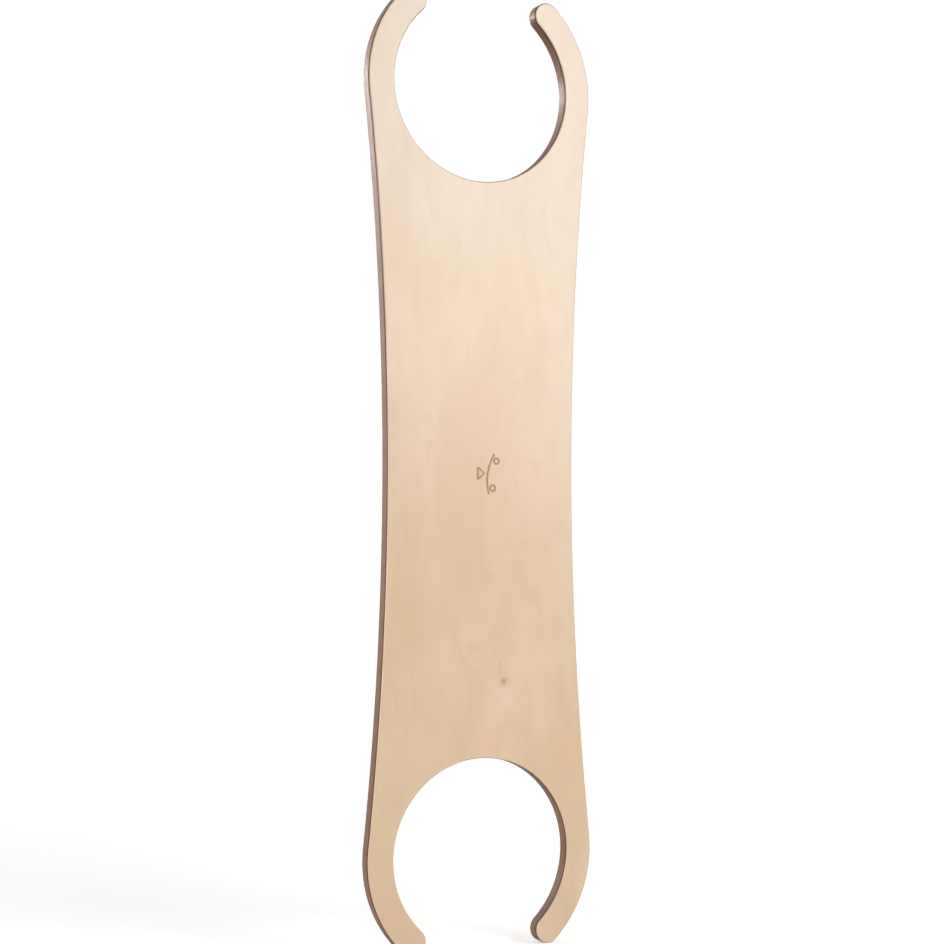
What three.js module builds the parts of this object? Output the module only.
// Seesaw board: one long plywood plank, waisted in the middle, whose two ends open into C-shaped forks.
// It stands on end: +Z runs along the board, X runs across it and the riding face looks towards -Y.
// The origin is on the floor, midway between the two tips that the board stands on. Millimetres.
import * as THREE from 'three';

// Driving dimensions
const LENGTH = 1200;
const THICKNESS = 18;
const PLY_COUNT = 13;
const FACE_VENEER = 0.8; // the two outer plies are sanded thinner than the rest
const CUTOUT_RADIUS = 120; // the round cut-out at each end
const RING_WIDTH = 35; // the band of wood left round a cut-out
const CUTOUT_OFFSET = 482; // from the middle of the board to the centre of a cut-out
const WAIST_WIDTH = 258; // across the narrowest place, halfway along
const EDGE_RADIUS = 2; // roundover on both faces, all the way round

// Worked out from them
const OUTER_RADIUS = CUTOUT_RADIUS + RING_WIDTH;
const TIP_RADIUS = RING_WIDTH / 2;
const TIP_ORBIT = CUTOUT_RADIUS + TIP_RADIUS; // a tip's centre lies this far from the cut-out's centre
const TIP_RISE = LENGTH / 2 - TIP_RADIUS - CUTOUT_OFFSET; // and this far beyond it along the board
const TIP_ANGLE = Math.asin(TIP_RISE / TIP_ORBIT);
const HALF_WAIST = WAIST_WIDTH / 2;
// The waist is one shallow arc, tangent to the outer circles of both ends.
const WAIST_RADIUS =
  (CUTOUT_OFFSET ** 2 + HALF_WAIST ** 2 - OUTER_RADIUS ** 2) / (2 * (OUTER_RADIUS - HALF_WAIST));
const SHOULDER_ANGLE = Math.atan2(-CUTOUT_OFFSET, HALF_WAIST + WAIST_RADIUS);

// How many straight steps stand for each arc of a quarter of the outline
const STEPS = { waist: 6, shoulder: 1, outer: 8, tipEnd: 2, tipInside: 6, cutout: 20 };
const ROUNDOVER_STEPS = 3;

const QUARTER_TURN = Math.PI / 2;

/** Points on an arc from one angle to another, without the last one. */
function arc(centre, radius, from, to, steps) {
  const points = [];
  for (let i = 0; i < steps; i += 1) {
    const angle = from + ((to - from) * i) / steps;
    points.push([centre[0] + radius * Math.cos(angle), centre[1] + radius * Math.sin(angle)]);
  }
  return points;
}

/**
 * A quarter of the outline, [across, along] from the board's middle: from the waist out to the tip and
 * back inside to the cut-out's innermost point. Every arc moves inwards by the same inset, so the arcs
 * stay tangent.
 */
function quarterOutline(inset) {
  const end = [0, CUTOUT_OFFSET];
  const tip = [TIP_ORBIT * Math.cos(TIP_ANGLE), CUTOUT_OFFSET + TIP_RISE];
  const waist = [HALF_WAIST + WAIST_RADIUS, 0];
  const outer = OUTER_RADIUS - inset;
  const nose = TIP_RADIUS - inset;
  const hole = CUTOUT_RADIUS + inset;
  return [
    ...arc(waist, WAIST_RADIUS + inset, Math.PI, Math.PI + SHOULDER_ANGLE, STEPS.waist),
    ...arc(end, outer, SHOULDER_ANGLE, 0, STEPS.shoulder),
    ...arc(end, outer, 0, TIP_ANGLE, STEPS.outer),
    ...arc(tip, nose, TIP_ANGLE, QUARTER_TURN, STEPS.tipEnd),
    ...arc(tip, nose, QUARTER_TURN, TIP_ANGLE + Math.PI, STEPS.tipInside),
    ...arc(end, hole, TIP_ANGLE, -QUARTER_TURN, STEPS.cutout),
    [0, CUTOUT_OFFSET - hole],
  ];
}

/** The whole outline, anticlockwise: the quarter and its three mirror images. */
function outline(inset) {
  const quarter = quarterOutline(inset);
  const back = [...quarter].reverse();
  return [
    ...quarter,
    ...back.slice(1).map(([across, along]) => [-across, along]),
    ...quarter.slice(1).map(([across, along]) => [-across, -along]),
    ...back.slice(1, -1).map(([across, along]) => [across, -along]),
  ];
}

/** How far the roundover has drawn the outline in, at a depth below the riding face. */
function insetAt(depth) {
  const fromFace = Math.min(depth, THICKNESS - depth);
  if (fromFace >= EDGE_RADIUS) return 0;
  return EDGE_RADIUS - Math.sqrt(EDGE_RADIUS ** 2 - (EDGE_RADIUS - fromFace) ** 2);
}

/** The depths at which a ply's edge has a ring of points: its two faces and the roundover's steps. */
function edgeDepths(front, rear) {
  const depths = [front, rear];
  for (let i = 1; i <= ROUNDOVER_STEPS; i += 1) {
    const fromFace = EDGE_RADIUS * (1 - Math.cos((QUARTER_TURN * i) / ROUNDOVER_STEPS));
    depths.push(fromFace, THICKNESS - fromFace);
  }
  return depths.filter((depth) => depth >= front && depth <= rear).sort((a, b) => a - b);
}

/** One ply as a closed mesh: a ring of points at each depth, walls between rings and two flat faces. */
function plyGeometry(front, rear) {
  const rings = edgeDepths(front, rear).map((depth) => ({ depth, points: outline(insetAt(depth)) }));
  const count = rings[0].points.length;
  const positions = rings.flatMap(({ depth, points }) =>
    points.flatMap(([across, along]) => [across, depth - THICKNESS / 2, along + LENGTH / 2]),
  );
  const triangles = [];
  for (let ring = 0; ring < rings.length - 1; ring += 1) {
    for (let i = 0; i < count; i += 1) {
      const a = ring * count + i;
      const b = ring * count + ((i + 1) % count);
      triangles.push(a, a + count, b, b, a + count, b + count);
    }
  }
  const flat = rings[0].points.map(([across, along]) => new THREE.Vector2(across, along));
  const last = (rings.length - 1) * count;
  for (const [a, b, c] of THREE.ShapeUtils.triangulateShape(flat, [])) {
    triangles.push(a, b, c);
    triangles.push(last + a, last + c, last + b);
  }
  const geometry = new THREE.BufferGeometry();
  geometry.setAttribute('position', new THREE.Float32BufferAttribute(positions, 3));
  geometry.setIndex(triangles);
  return geometry;
}

/** The depth of the glue line in front of a ply, counted from 0. */
function glueLine(index) {
  if (index === 0) return 0;
  if (index === PLY_COUNT) return THICKNESS;
  return FACE_VENEER + ((THICKNESS - 2 * FACE_VENEER) * (index - 1)) / (PLY_COUNT - 2);
}

/**
 * Outer veneers show the face of the wood. On the edge, lengthwise plies show mostly long grain and
 * crosswise ones mostly end grain. Shading is flat, because the meshes carry no normals.
 */
function plyMaterial(index) {
  const isFace = index === 0 || index === PLY_COUNT - 1;
  const crosswise = index % 2 === 1;
  const common = { metalness: 0, flatShading: true };
  if (isFace) return { ...common, color: 0xe1c8ab, roughness: 0.45 };
  if (crosswise) return { ...common, color: 0x9a7860, roughness: 0.6 };
  return { ...common, color: 0xc4a383, roughness: 0.55 };
}

/** ply_01 is the riding face, ply_13 the underside; between them long and cross plies alternate. */
function plyName(index) {
  const number = String(index + 1).padStart(2, '0');
  if (index === 0) return `ply_${number}_riding_face`;
  if (index === PLY_COUNT - 1) return `ply_${number}_underside`;
  return index % 2 === 1 ? `ply_${number}_cross` : `ply_${number}_long`;
}

const board = new THREE.Group();
board.name = 'seesaw_board';
for (let index = 0; index < PLY_COUNT; index += 1) {
  const material = new THREE.MeshStandardMaterial(plyMaterial(index));
  const ply = new THREE.Mesh(plyGeometry(glueLine(index), glueLine(index + 1)), material);
  ply.name = plyName(index);
  board.add(ply);
}

export default board;
